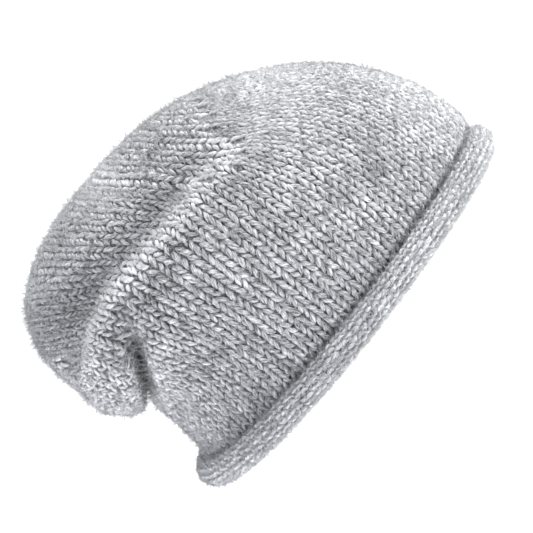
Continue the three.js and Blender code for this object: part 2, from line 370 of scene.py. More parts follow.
def knitField(stageCount=200, turnCount=240):
    # at a grid over the hat without its folds, 10 columns: the place, the steps of stage and turn
    # that go one millimetre up the wale, those that go one to its side, and the wale's direction
    stages = np.linspace(0, knitTop, stageCount + 1)
    turns = np.arange(turnCount) / turnCount * 2 * math.pi
    stage, turn = np.meshgrid(stages, turns, indexing="ij")
    near = 1e-3
    point = hatPoint(stage, turn, False)
    high, low = np.minimum(stage + near, topStage), np.maximum(stage - near, 0)
    perStage = (hatPoint(high, turn, False) - hatPoint(low, turn, False)) / (high - low)[..., None]
    perTurn = (hatPoint(stage, turn + near, False) - hatPoint(stage, turn - near, False)) / (2 * near)
    normal = unit(np.cross(perTurn, perStage))
    body = tilted(leanAt(knit["bodyLean"], point), normal)
    lean = leanAt(knit["domeLean"], point)
    front = smoothStep(point[..., 0], *knit["frontBlend"])
    right = blend(inSide(lean, normal), tilted(lean, normal), front)
    toTip = onSurface(tip + hatMiddle - point, normal)
    dome = blend(right, toTip, smoothStep(normal[..., 1], *knit["leftBlend"]))
    x = point[..., 0] / np.where(point[..., 0] > 0, hat["frontReach"], hat["backReach"])
    deep = through(folds["creaseLine"], 2, x)
    above = point[..., 2] - through(folds["creaseLine"], 1, x) * hat["height"]
    above = above + knit["creaseRaise"] * (1 - deep)
    wide = knit["creaseBand"][0] + knit["creaseBand"][1] * (1 - deep)
    course = blend(body, dome, smoothStep(above, -wide, wide))
    fromTip = np.linalg.norm(point - tip - hatMiddle, axis=-1)
    course = blend(course, toTip, bump(fromTip, knit["tipPull"]))
    course = onSurface(course, normal)
    aside = np.cross(normal, course)
    pairs = ((perStage, perStage), (perStage, perTurn), (perTurn, perTurn))
    ss, st, tt = [(p * q).sum(-1) for p, q in pairs]
    area = ss * tt - st * st
    steps = []
    for way in (course, aside):
        a, b = (way * perStage).sum(-1), (way * perTurn).sum(-1)
        steps += [(a * tt - b * st) / area, (b * ss - a * st) / area]
    return np.concatenate([point, np.stack(steps, axis=-1), course], axis=-1)


knitGrid = knitField()


def fieldAt(stage, turn):
    rows, columns = knitGrid.shape[:2]
    r = np.clip(np.asarray(stage) / knitTop, 0, 1) * (rows - 1.0001)
    c = (np.asarray(turn) / (2 * math.pi)) % 1 * columns
    r0, c0 = np.floor(r).astype(int), np.floor(c).astype(int) % columns
    ru, cu = (r - r0)[..., None], (c - np.floor(c))[..., None]
    c1 = (c0 + 1) % columns
    low = knitGrid[r0, c0] * (1 - cu) + knitGrid[r0, c1] * cu
    return low * (1 - ru) + (knitGrid[r0 + 1, c0] * (1 - cu) + knitGrid[r0 + 1, c1] * cu) * ru


def evenStarts(count, probes=1441):
    # turns that lie evenly round the first section over the hem
    turns = np.linspace(0, 2 * math.pi, probes)
    line = hatPoint(np.full_like(turns, hat["sections"][0][0]), turns)
    walked = np.concatenate([[0], np.cumsum(np.linalg.norm(np.diff(line, axis=0), axis=1))])
    return np.interp(np.arange(count) / count, walked / walked[-1], turns)


def followWale(stage, turn, way, others, limit):
    # walks up (way 1) or down (way -1) from a start until it is too close to another wale
    places = [(stage, turn)]
    step = knit["step"]
    while len(places) < knit["mostSteps"]:
        here = fieldAt(stage, turn)
        half = fieldAt(stage + way * here[3] * step / 2, turn + way * here[4] * step / 2)
        stage = stage + way * half[3] * step
        turn = turn + way * half[4] * step
        if not knit["hemStage"] - knit["underHem"] < stage < knit["lastStage"]:
            break
        point = fieldAt(stage, turn)[:3]
        if np.linalg.norm(point - tip - hatMiddle) < knit["tipStop"]:
            break
        if len(others) and len(places) > 2:
            gap = np.sqrt(((others - point) ** 2).sum(1).min())
            if gap < limit(stage):
                break
        places.append((stage, turn))
    return places


def layWales():
    # wales start evenly round the brim, end where they crowd, and new ones start in wide gaps
    spacing = lambda stage: float(through(knit["gauge"], 1, stage))
    limit = lambda stage: spacing(stage) * knit["closest"]
    wales, taken = [], np.zeros((0, 3))
    starts = evenStarts(knit["wales"])
    order = sorted(range(knit["wales"]), key=lambda i: (i % 2, i % 4, i % 8, i))
    for i in order:
        places = followWale(knit["hemStage"], starts[i], 1, taken, limit)
        wales.append(np.array(places))
        taken = np.concatenate([taken, fieldAt(*wales[-1].T)[:, :3]])
    firstNew, lastNew = knit["newStages"]
    checked = 0
    while checked < len(wales):
        for stage, turn in wales[checked][4::6]:
            here = fieldAt(stage, turn)
            for side in (-1, 1):
                room = spacing(stage) * knit["beside"]
                start = (stage + side * here[5] * room, turn + side * here[6] * room)
                if not knit["hemStage"] + firstNew < start[0] < lastNew:
                    continue
                point = fieldAt(*start)[:3]
                if np.sqrt(((taken - point) ** 2).sum(1).min()) < spacing(stage) * knit["widest"]:
                    continue
                if np.linalg.norm(point - tip - hatMiddle) < 2 * knit["tipStop"]:
                    continue
                down = followWale(*start, -1, taken, limit)
                up = followWale(*start, 1, taken, limit)
                line = np.array(down[::-1] + up[1:])
                if len(line) < knit["shortest"]:
                    continue
                wales.append(line)
                taken = np.concatenate([taken, fieldAt(*line.T)[:, :3]])
        checked += 1
    return wales


def countRows(wales):
    # the row of each point of each wale, in step with the wale beside it
    places, rows = np.zeros((0, 3)), np.zeros(0)
    counted = []
    for number, line in enumerate(wales):
        full = hatPoint(line[:, 0], line[:, 1])
        lengths = np.linalg.norm(np.diff(full, axis=0), axis=1)
        pitch = through(knit["gauge"], 2, (line[1:, 0] + line[:-1, 0]) / 2)
        own = np.concatenate([[0], np.cumsum(lengths / pitch)])
        field = fieldAt(line[:, 0], line[:, 1])
        if number >= knit["wales"]:
            middle = len(line) // 2
            gaps = ((places - field[middle, :3]) ** 2).sum(1)
            near = gaps.argmin()
            ahead = ((field[middle, :3] - places[near]) * field[middle, wayUp]).sum()
            own += rows[near] + ahead / pitch[middle - 1] - own[middle]
        counted.append(own)
        places = np.concatenate([places, field[:, :3]])
        rows = np.concatenate([rows, own])
    return counted


wales = layWales()
waleRows = countRows(wales)
print("wales:", len(wales), "rows of the longest:", round(float(max(rows[-1] for rows in waleRows))))


def deselectAll():
    if bpy.context.mode != "OBJECT":
        bpy.ops.object.mode_set(mode="OBJECT")
    bpy.ops.object.select_all(action="DESELECT")


def strandShape(name, sides, rings, fullness):
    # one strand, a long grain with closed ends, as points round each ring along it, and its faces
    deselectAll()
    if rings > 2:
        bpy.ops.mesh.primitive_uv_sphere_add(segments=sides, ring_count=rings, radius=1)
        bpy.ops.object.mode_set(mode="EDIT")
        bpy.ops.mesh.select_all(action="SELECT")
        bpy.ops.mesh.quads_convert_to_tris()
    else:
        bpy.ops.mesh.primitive_circle_add(vertices=sides, radius=1, fill_type="NOTHING")
        for height in (1, -1):
            # the ring alone, without the end that is there already
            bpy.ops.object.mode_set(mode="OBJECT")
            for vertex in bpy.context.object.data.vertices:
                vertex.select = abs(vertex.co.z) < 0.5
            bpy.ops.object.mode_set(mode="EDIT")
            bpy.ops.mesh.select_mode(type="VERT")
            bpy.ops.mesh.extrude_region_move(TRANSFORM_OT_translate={"value": (0, 0, height)})
            bpy.ops.mesh.merge(type="CENTER")
        bpy.ops.mesh.select_all(action="SELECT")
        bpy.ops.mesh.normals_make_consistent(inside=False)
    grain = bpy.context.object
    bpy.ops.object.mode_set(mode="OBJECT")
    points = np.array([v.co for v in grain.data.vertices])
    faces = np.array([list(p.vertices) for p in grain.data.polygons])
    bpy.data.meshes.remove(grain.data)
    height = points[:, 2]
    ring = np.rint((1 - np.arccos(np.clip(height, -1, 1)) / math.pi) * rings).astype(int)
    wide = np.hypot(points[:, 0], points[:, 1])
    angle = np.arctan2(points[:, 1], points[:, 0])
    fuller = np.where(wide > 1e-4, np.maximum(wide, 1e-4) ** fullness, 0)
    print("strand shape", name, len(faces), "faces")
    return {
        "across": fuller * np.cos(angle),
        "out": fuller * np.sin(angle),
        "ring": ring,
        "angle": angle / (2 * math.pi),
        "faces": faces,
        "rings": rings + 1,
    }


def meshOf(name, points, faces, attributes=()):
    mesh = bpy.data.meshes.new(name)
    mesh.vertices.add(len(points))
    mesh.vertices.foreach_set("co", (points * mm).astype(np.float32).ravel())
    mesh.loops.add(faces.size)
    mesh.loops.foreach_set("vertex_index", faces.astype(np.int32).ravel())
    mesh.polygons.add(len(faces))
    mesh.polygons.foreach_set("loop_start", np.arange(0, faces.size, 3, dtype=np.int32))
    mesh.polygons.foreach_set("use_smooth", np.ones(len(faces), bool))
    mesh.update(calc_edges=True)
    for label, values in attributes:
        mesh.attributes.new(label, "FLOAT_VECTOR", "POINT").data.foreach_set(
            "vector", values.astype(np.float32).ravel()
        )
    piece = bpy.data.objects.new(name, mesh)
    bpy.context.scene.collection.objects.link(piece)
    return piece


def layStrands(name, shape, path, out, width, thick, lengths, lump=0.0):
    # copies the strand along many short paths: path and out are (strands, rings, 3)
    along = unit(np.gradient(path, axis=1))
    side = unit(np.cross(out, along))
    up = unit(np.cross(along, side))
    ring = shape["ring"]
    count, size = len(path), len(ring)
    uneven = 1 + random.normal(0, lump, (count, size)) if lump else np.ones((count, size))
    points = (
        path[:, ring]
        + side[:, ring] * (shape["across"][None, :] * width[:, None] * uneven)[..., None]
        + up[:, ring] * (shape["out"][None, :] * thick[:, None] * uneven)[..., None]
    )
    points[..., 2] = np.maximum(points[..., 2], lowestFibre)
    faces = shape["faces"][None] + (np.arange(count) * size)[:, None, None]
    luck = random.random(count)
    share = ring / (shape["rings"] - 1)
    yarn = np.stack(
        [
            share[None, :] * lengths[:, None] + luck[:, None] * wool["strandsApart"],
            np.broadcast_to(shape["angle"], (count, size)),
            np.broadcast_to(luck[:, None], (count, size)),
        ],
        axis=-1,
    )
    points, yarn = points.reshape(-1, 3), yarn.reshape(-1, 3)
    # painted light and shade at each point, handed to the material as an attribute
    paintedLight = np.repeat(paintedLightAt(points)[:, None], 3, axis=1)
    return meshOf(name, points, faces.reshape(-1, 3), [("yarn", yarn), ("paintedLight", paintedLight)])


# Heather wool: dark, mid and pale fibres spun together
wool = {
    "dark": (0.1, 0.1, 0.11),
    "mid": (0.468, 0.475, 0.505),
    "light": (0.9, 0.91, 0.94),
    "patchSize": 12.0,  # mm
    "streakLength": 2.6,  # mm
    "streaksRound": 13,  # round a strand of yarn
    "strandsApart": 900,  # mm of one long yarn between the pieces that two strands show
    "luckScale": 60.0,
    "fibreNoise": (3, 0.65),  # detail and roughness
    "patchNoise": (3, 0.6),
    "plainScale": 900,  # of the noise where there are no strands
    "rampEnds": (0.15, 0.85),
    "roughness": 0.95,
    "gloss": 0.15,
    "fibreBump": 0.8,
    "bumpDepth": 0.8,  # mm
    "sheen": 0.5,
    "sheenRoughness": 0.6,
    # the most that painted light makes a place paler
    "mostPaintedLight": 0.42,
    "paintedRidgeHighlight": 0.4,  # painted highlight along the shoulder under the crease, where the light from above would catch it
    "paintedRidgeHighlightPlace": (1.5, 5.5),  # mm that it lies under the crease, and its reach
    # painted light and shade: x and height in mm, reach, and how much paler it is painted there (below
    # zero, darker); the first eight are painted highlights and shade that stand in for the light over the
    # front, the dome top, the pouch and the nape, and the last five are painted shadow in the fold at the
    # nape
    "paintedLightPlaces": [
        (48, 106, 28, 0.34),
        (100, 45, 22, 0.1),
        (-104, 70, 32, 0.24),
        (-31, 133, 17, 0.3),
        (64, 56, 20, -0.05),
        (-95, -3, 16, 0.14),
        (-66, 48, 18, -0.07),
        (-97, 88, 14, 0.06),
        (-74, 79, 3.4, -0.4),
        (-78, 74, 3.4, -0.5),
        (-82, 69, 3.4, -0.5),
        (-86, 63, 3.4, -0.45),
        (-89.5, 57, 3.4, -0.4),
    ],
}


def paintedLightAt(point):
    # painted light and shade: how much paler or darker the wool is painted at a point of the hat, for the
    # highlight on the ridge, the lit and shaded places and the shadow in the nape fold
    x, z = point[..., 0] - hatMiddle[0], point[..., 2] - hatMiddle[2]
    share = x / np.where(x > 0, hat["frontReach"], hat["backReach"])
    above = z - through(folds["creaseLine"], 1, share) * hat["height"]
    ridge = bump(above + wool["paintedRidgeHighlightPlace"][0], wool["paintedRidgeHighlightPlace"][1])
    paintedLight = wool["paintedRidgeHighlight"] * ridge * through(folds["creaseLine"], 2, share)
    for placeX, placeZ, reach, amount in wool["paintedLightPlaces"]:
        paintedLight = paintedLight + amount * bump(np.hypot(x - placeX, z - placeZ), reach)
    return np.minimum(paintedLight, wool["mostPaintedLight"])


def mathNode(nodes, links, operation, first, second):
    node = nodes.new("ShaderNodeMath")
    node.operation = operation
    for socket, value in zip(node.inputs, (first, second)):
        if isinstance(value, (int, float)):
            socket.default_value = value
        else:
            links.new(value, socket)
    return node.outputs[0]


def noiseNode(nodes, links, vector, scale, detail, roughness):
    node = nodes.new("ShaderNodeTexNoise")
    node.inputs["Scale"].default_value = scale
    node.inputs["Detail"].default_value = detail
    node.inputs["Roughness"].default_value = roughness
    links.new(vector, node.inputs["Vector"])
    return node.outputs["Fac"]


def woolMaterial(name, shade=1.0, strands=True, streak=2.7, patch=0.5, own=0.15, lift=0.0):
    # streak, patch and own: how much the tone changes along a fibre, over the hat and by strand
    material = bpy.data.materials.new(name)
    material.use_nodes = True
    nodes, links = material.node_tree.nodes, material.node_tree.links
    nodes.clear()
    output = nodes.new("ShaderNodeOutputMaterial")
    shader = nodes.new("ShaderNodeBsdfPrincipled")
    shader.inputs["Roughness"].default_value = wool["roughness"]
    shader.inputs["Specular IOR Level"].default_value = wool["gloss"]
    shader.inputs["Sheen Weight"].default_value = wool["sheen"]
    shader.inputs["Sheen Roughness"].default_value = wool["sheenRoughness"]
    links.new(shader.outputs[0], output.inputs[0])
    place = nodes.new("ShaderNodeTexCoord")
    patchScale = 1 / (wool["patchSize"] * mm)
    patches = noiseNode(nodes, links, place.outputs["Object"], patchScale, *wool["patchNoise"])
    if strands:
        yarn = nodes.new("ShaderNodeAttribute")
        yarn.attribute_name = "yarn"
        stretch = nodes.new("ShaderNodeMapping")
        fibreScale = (1 / wool["streakLength"], wool["streaksRound"], wool["luckScale"])
        stretch.inputs["Scale"].default_value = fibreScale
        links.new(yarn.outputs["Vector"], stretch.inputs["Vector"])
        fibres = noiseNode(nodes, links, stretch.outputs[0], 1.0, *wool["fibreNoise"])
        split = nodes.new("ShaderNodeSeparateXYZ")
        links.new(yarn.outputs["Vector"], split.inputs[0])
        luck = split.outputs["Z"]
        # painted light and shade from the attribute, added to the tone
        paintedLightNode = nodes.new("ShaderNodeAttribute")
        paintedLightNode.attribute_name = "paintedLight"
        lift = mathNode(nodes, links, "ADD", paintedLightNode.outputs["Fac"], lift)
    else:
        fibres = noiseNode(nodes, links, place.outputs["Object"], wool["plainScale"], *wool["fibreNoise"])
        luck = patches
    tone = mathNode(nodes, links, "MULTIPLY", fibres, streak)
    tone = mathNode(nodes, links, "ADD", tone, mathNode(nodes, links, "MULTIPLY", patches, patch))
    tone = mathNode(nodes, links, "ADD", tone, mathNode(nodes, links, "MULTIPLY", luck, own))
    tone = mathNode(nodes, links, "SUBTRACT", tone, (streak + patch + own - 1) / 2)
    tone = mathNode(nodes, links, "ADD", tone, lift)

    ramp = nodes.new("ShaderNodeValToRGB")
    ends = zip(ramp.color_ramp.elements, wool["rampEnds"], (wool["dark"], wool["light"]))
    for element, position, colour in ends:
        element.position = position
        element.color = (*[c * shade for c in colour], 1)
    middle = ramp.color_ramp.elements.new(0.5)
    middle.color = (*[c * shade for c in wool["mid"]], 1)
    links.new(tone, ramp.inputs[0])
    links.new(ramp.outputs[0], shader.inputs["Base Color"])

    relief = nodes.new("ShaderNodeBump")
    relief.inputs["Strength"].default_value = wool["fibreBump"]
    relief.inputs["Distance"].default_value = wool["bumpDepth"] * mm
    links.new(fibres, relief.inputs["Height"])
    links.new(relief.outputs[0], shader.inputs["Normal"])
    return material


crownWool = woolMaterial("crownWool", lift=0.08)
brimWool = woolMaterial("brimWool", streak=1.7, lift=0.07)
# a darker copy of the wool: painted shade in the gaps between the stitches and inside the hat
innerWoolPaintedShade = woolMaterial("innerWoolPaintedShade", shade=0.4, strands=False)
# a darker copy of the wool: painted shade in the gaps between the brim's loops
coreWoolPaintedShade = woolMaterial("coreWoolPaintedShade", shade=0.75, strands=False)
napWool = woolMaterial("napWool", streak=0.3, patch=0.3, own=2.3, lift=0.04)
haloWool = woolMaterial("haloWool", streak=0.2, patch=0.2, own=0.5, lift=0.15)


def finishPiece(piece, node, material):
    piece.data.materials.append(material)
    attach(piece, "root")
    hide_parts(node)


# The cloth under the stitches, which also shows inside the hat
cloth = {
    "columns": 144,
    "rings": 120,
    "below": 2.6,  # mm under the hat's outside
    "thickness": 2.0,
    "ball": 0.1,  # m, radius of the sphere that it starts from
}


def evenRings(turn, share, probes=400, bendWeight=9):
    # rings closer together where the knit bends, for each column by itself
    columns = np.unique(np.round(turn, 5))
    stages = np.linspace(0, 1, probes + 1)
    result = np.zeros_like(share)
    for column in columns:
        line = hatPoint(stages, np.full_like(stages, column))
        steps = np.diff(line, axis=0)
        heading = unit(steps)
        bends = np.arccos(np.clip((heading[1:] * heading[:-1]).sum(1), -1, 1))
        lengths = np.linalg.norm(steps, axis=1)
        lengths[1:] += bendWeight * bends
        walked = np.concatenate([[0], np.cumsum(lengths)])
        here = np.abs(turn - column) < 1e-4
        result[here] = np.interp(share[here] * walked[-1], walked, stages)
    return result


def makeCloth():
    deselectAll()
    bpy.ops.mesh.primitive_uv_sphere_add(
        segments=cloth["columns"], ring_count=cloth["rings"], radius=cloth["ball"]
    )
    piece = bpy.context.object
    piece.name = "crownCloth"
    bpy.ops.object.mode_set(mode="EDIT")
    bpy.ops.mesh.select_all(action="DESELECT")
    bpy.ops.object.mode_set(mode="OBJECT")
    lowest = min(piece.data.vertices, key=lambda v: v.co.z)
    lowest.select = True
    bpy.ops.object.mode_set(mode="EDIT")
    bpy.ops.mesh.delete(type="VERT")
    bpy.ops.object.mode_set(mode="OBJECT")
    points = np.array([v.co for v in piece.data.vertices])
    upright = 1 - np.arccos(np.clip(points[:, 2] / cloth["ball"], -1, 1)) / math.pi
    ring = np.rint(upright * cloth["rings"]).astype(int)
    turn = np.arctan2(points[:, 1], points[:, 0])
    share = (ring - 1) / (cloth["rings"] - 1)
    stages = evenRings(turn, share)
    moved = hatPoint(stages, turn) - hatNormal(stages, turn) * cloth["below"]
    moved[ring == cloth["rings"]] = tip + hatMiddle + tipInwards * (hat["tipDimple"] + cloth["below"])
    piece.data.vertices.foreach_set("co", (moved * mm).astype(np.float32).ravel())
    piece.data.update()
    wall = piece.modifiers.new("wall", "SOLIDIFY")
    wall.thickness = cloth["thickness"] * mm
    wall.offset = -1
    bpy.context.view_layer.objects.active = piece
    bpy.ops.object.modifier_apply(modifier=wall.name)
    for polygon in piece.data.polygons:
        polygon.use_smooth = True
    finishPiece(piece, "crown", innerWoolPaintedShade)
    return piece


crownCloth = makeCloth()
print("cloth made")

# The crown's stitches: two legs each, leaning together as a V
stitch = {
    "sides": 5,
    "rings": 5,
    "fullness": 0.8,
    "reach": 0.84,  # half of a leg's length, in rows
    "domeStages": (0.36, 0.5),  # where the knit changes to that of the dome
    "domeShorter": 0.22,  # share that the legs are shorter over the dome
    "domeUneven": 0.8,  # how much more uneven they are there
    "inner": 0.04,  # a leg's foot, in wales from the middle of its V
    "outer": 0.47,  # its top
    "width": 0.175,  # half of its width, in wales
    "thick": 1.15,  # mm, half of its thickness
    "thickRoom": (6.5, 0.6, 1.05),  # mm between wales for that, and its least and most share
    "middle": -1.3,  # mm above the hat's outside, at the middle of the leg
    "dive": 1.5,  # mm that its ends run in
    "diveCurve": 2.2,
    "wander": 0.08,  # of a row
    "stray": 0.025,  # of the room between wales
    "sizeVaries": 0.06,
    "heightVaries": 0.14,  # mm
    "lump": 0.13,  # how uneven a leg's thickness is
    # in usual distances between wales: the furthest neighbour, the least and most room for a leg
    "furthest": 1.75,
    "room": (0.62, 1.6),
    "beside": 0.6,  # how squarely beside a stitch its neighbour lies
    "pieces": 3,
}


def findStitches():
    # for each stitch: its wale, its row, the room to the wales on both of its sides, its stage
    points = np.concatenate([fieldAt(*line.T)[:, :3] for line in wales])
    owner = np.concatenate([np.full(len(line), i) for i, line in enumerate(wales)])
    found = []
    for i, (line, rows) in enumerate(zip(wales, waleRows)):
        marks = np.arange(math.ceil(rows[0] - 0.5), math.floor(rows[-1] - 0.5) + 1) + 0.5
        if not len(marks):
            continue
        stage = np.interp(marks, rows, line[:, 0])
        turn = np.interp(marks, rows, line[:, 1])
        field = fieldAt(stage, turn)
        aside = unit(np.cross(unfoldedNormal(stage, turn), field[:, wayUp]))
        usual = through(knit["gauge"], 1, stage)
        apart = points[None] - field[:, None, :3]
        gaps = np.linalg.norm(apart, axis=2)
        across = (apart * aside[:, None]).sum(2)
        rooms = []
        for side in (-1, 1):
            other = (owner != i)[None] & (across * side > stitch["beside"] * gaps)
            room = np.where(other, gaps, np.inf).min(1)
            kept = np.clip(room, stitch["room"][0] * usual, stitch["room"][1] * usual)
            rooms.append(np.where(room > stitch["furthest"] * usual, usual, kept))
        found.append(np.stack([np.full(len(marks), i), marks, rooms[0], rooms[1], stage], axis=1))
    return np.concatenate(found)


def knitPlace(wale, row, across):
    # a point of the folded hat and the direction out of it, at a row of each wale and some
    # millimetres beside it; wale is (stitches,), row and across are (stitches, places)
    stage, turn = np.zeros_like(row), np.zeros_like(row)
    for i in np.unique(wale):
        own = wale == i
        line, rows = wales[int(i)], waleRows[int(i)]
        for target, column in ((stage, 0), (turn, 1)):
            inside = np.interp(row[own], rows, line[:, column])
            perRow = (line[-1, column] - line[-3, column]) / (rows[-1] - rows[-3])
            first = (line[2, column] - line[0, column]) / (rows[2] - rows[0])
            beyond = np.maximum(row[own] - rows[-1], 0) * perRow
            before = np.minimum(row[own] - rows[0], 0) * first
            target[own] = inside + (beyond + before)
    stage = np.clip(stage, *knit["ends"])
    field = fieldAt(stage, turn)
    stage = np.clip(stage + across * field[..., 5], *knit["ends"])
    turn = turn + across * field[..., 6]
    return hatPoint(stage, turn), hatNormal(stage, turn)


stitches = findStitches()
print("stitches of the crown:", len(stitches))


def makeStitches():
    shape = strandShape("leg", stitch["sides"], stitch["rings"], stitch["fullness"])
    u = np.linspace(-1, 1, shape["rings"])
    byRow = stitches[np.argsort(stitches[:, 1], kind="stable")]
    wideRoom, leastThick, mostThick = stitch["thickRoom"]
    pieces = []
    for number, part in enumerate(np.array_split(byRow, stitch["pieces"])):
        paths, outs, widths, thicks, lengths = [], [], [], [], []
        count = len(part)
        for side, room in ((-1, part[:, 2]), (1, part[:, 3])):
            dome = smoothStep(part[:, 4], *stitch["domeStages"])
            uneven = 1 + stitch["domeUneven"] * dome
            size = 1 + random.normal(0, stitch["sizeVaries"], count) * uneven
            size = size * (1 - stitch["domeShorter"] * dome)
            across = stitch["inner"] + (stitch["outer"] - stitch["inner"]) * (u + 1) / 2
            astray = random.normal(0, stitch["stray"], (count, 1)) * uneven[:, None]
            across = (across[None, :] + astray) * room[:, None] * side
            row = part[:, 1] + random.normal(0, stitch["wander"], count) * uneven
            row = row[:, None] + stitch["reach"] * u[None, :] * size[:, None]
            point, normal = knitPlace(part[:, 0], row, across)
            height = stitch["middle"] - stitch["dive"] * np.abs(u) ** stitch["diveCurve"]
            height = height[None, :] + random.normal(0, stitch["heightVaries"], (count, 1))
            paths.append(point + normal * height[..., None])
            outs.append(normal)
            widths.append(room * stitch["width"] * size)
            thicks.append(np.clip(room / wideRoom, leastThick, mostThick) * stitch["thick"])
            lengths.append(np.linalg.norm(paths[-1][:, -1] - paths[-1][:, 0], axis=1))
        name = "crownStitches%d" % (number + 1)
        joined = [np.concatenate(a) for a in (paths, outs, widths, thicks, lengths)]
        piece = layStrands(name, shape, *joined, lump=stitch["lump"])
        finishPiece(piece, "crown", crownWool)
        pieces.append(piece)
    print("faces of the crown's stitches:", sum(len(p.data.polygons) for p in pieces))
    return pieces


crownStitchPieces = makeStitches()

# The rolled brim shows the back of the knit: short purl loops in staggered rows
roll = {
    "coreRadius": 5.1,
    "segments": 168,
    "around": 20,
    "wales": 84,
    "ridges": 24,
    "radius": 6.15,  # mm from the roll's middle to the middle of a purl loop
    "length": 0.36,  # half of a loop, in wales
    "width": 0.92,  # mm, half
    "thick": 0.95,
    "arch": 1.3,  # mm that a loop bows up or down
    "dive": 1.7,
    "sides": 5,
    "rings": 5,
    "fullness": 0.75,
    "yarn": 7.0,  # mm of yarn that a loop shows
    # how much they vary: place and size as shares, mm along the roll's curve, mm of radius
    "placeVaries": 0.03,
    "sizeVaries": 0.06,
    "angleVaries": 0.1,
    "radiusVaries": 0.08,
    "ring": (0.1, 0.006),  # m, the ring that the core starts from
    "probes": 720,
}


def brimLine(turn):
    ahead, sideways = np.cos(turn), np.sin(turn)
    middle = np.stack(
        [
            hat["brimLength"] / 2 * ahead,
            hat["brimWidth"] / 2 * sideways * (1 - hat["brimEgg"] * ahead),
            np.full_like(ahead, rollHeight),
        ],
        axis=-1,
    )
    alongX = -hat["brimLength"] / 2 * sideways
    alongY = hat["brimWidth"] / 2 * (ahead - hat["brimEgg"] * np.cos(2 * turn))
    outwards = unit(np.stack([alongY, -alongX, np.zeros_like(ahead)], axis=-1))
    return middle + hatMiddle, outwards


brimTurns = np.append(evenStarts(roll["probes"]), 2 * math.pi)
brimShares = np.linspace(0, 1, len(brimTurns))


def rollPlace(share, angle, radius):
    # a point on the roll: share round the brim, angle round the roll from the outside upwards
    middle, outwards = brimLine(np.interp(share % 1, brimShares, brimTurns))
    upwards = np.array([0.0, 0.0, 1.0])
    normal = outwards * np.cos(angle)[..., None] + upwards * np.sin(angle)[..., None]
    return middle + normal * np.asarray(radius)[..., None], normal


def makeRoll():
    deselectAll()
    ringRadius, coreStart = roll["ring"]
    bpy.ops.mesh.primitive_torus_add(
        major_segments=roll["segments"],
        minor_segments=roll["around"],
        major_radius=ringRadius,
        minor_radius=coreStart,
    )
    core = bpy.context.object
    core.name = "brimCore"
    points = np.array([v.co for v in core.data.vertices])
    share = (np.arctan2(points[:, 1], points[:, 0]) / (2 * math.pi)) % 1
    angle = np.arctan2(points[:, 2], np.hypot(points[:, 0], points[:, 1]) - ringRadius)
    moved, normal = rollPlace(share, angle, np.full(len(points), roll["coreRadius"]))
    core.data.vertices.foreach_set("co", (moved * mm).astype(np.float32).ravel())
    core.data.update()
    for polygon in core.data.polygons:
        polygon.use_smooth = True
    finishPiece(core, "rolled_brim", coreWoolPaintedShade)

    shape = strandShape("loop", roll["sides"], roll["rings"], roll["fullness"])
    grid = np.meshgrid(np.arange(roll["ridges"]), np.arange(roll["wales"]), indexing="ij")
    ridge, wale = [a.ravel() for a in grid]
    count = len(ridge)
    u = np.linspace(-1, 1, shape["rings"])
    odd = ridge % 2
    share = (wale + 0.5 * odd + random.normal(0, roll["placeVaries"], count)) / roll["wales"]
    angle = ridge / roll["ridges"] * 2 * math.pi
    size = 1 + random.normal(0, roll["sizeVaries"], count)
    shares = share[:, None] + roll["length"] * u[None, :] * size[:, None] / roll["wales"]
    bow = roll["arch"] * (0.5 - u ** 2)[None, :] * np.where(odd == 1, 1, -1)[:, None]
    angles = angle[:, None] + (bow + random.normal(0, roll["angleVaries"], (count, 1))) / roll["radius"]
    radius = roll["radius"] - roll["dive"] * np.abs(u) ** 2
    radius = radius + random.normal(0, roll["radiusVaries"], (count, 1))
    path, normal = rollPlace(shares, angles, radius)
    loops = layStrands(
        "brimLoops",
        shape,
        path,
        normal,
        roll["width"] * size,
        np.full(count, roll["thick"]),
        np.full(count, roll["yarn"]),
        lump=stitch["lump"],
    )
    finishPiece(loops, "rolled_brim", brimWool)
    print("loops of the brim:", count, "faces:", len(loops.data.polygons))


makeRoll()

# Loose fibres: a nap that lies along the yarn, and a halo that stands off it
fuzz = {
    # fibres, usual length in mm, how far it turns away from the yarn, height over it, share
    # standing, half of its thickness, steepest slope of those that stand
    "crownNap": (32500, 3.8, 0.4, 0.2, 0.02, 0.13, 1.5),
    "crownHalo": (33000, 4.0, 2.0, 0.8, 0.94, 0.11, 3.5),
    "brimFuzz": (26000, 2.8, 1.2, 0.3, 0.5, 0.11, 3.0),
    "lengthVaries": 0.4,
    "curl": 0.35,  # of a fibre's length
    "over": -0.1,  # mm that it lies over the hat's outside
    "rooted": 0.5,  # mm that a standing one starts deeper
    "behind": (0.1, 0.5),  # share of it behind its place, standing and lying
    "gentlest": 0.5,  # slope of a standing one
    "lyingSlope": 0.06,
    "legPart": 0.8,  # share of a leg's length that bears fibres
    "aside": 0.06,  # in wales, how far they stray across a leg
    "ahead": 0.3,  # rows over which a leg's direction is taken
    "brimDepth": (0.3, 0.1),  # mm under the roll's outside, at a fibre's root and beyond it
}


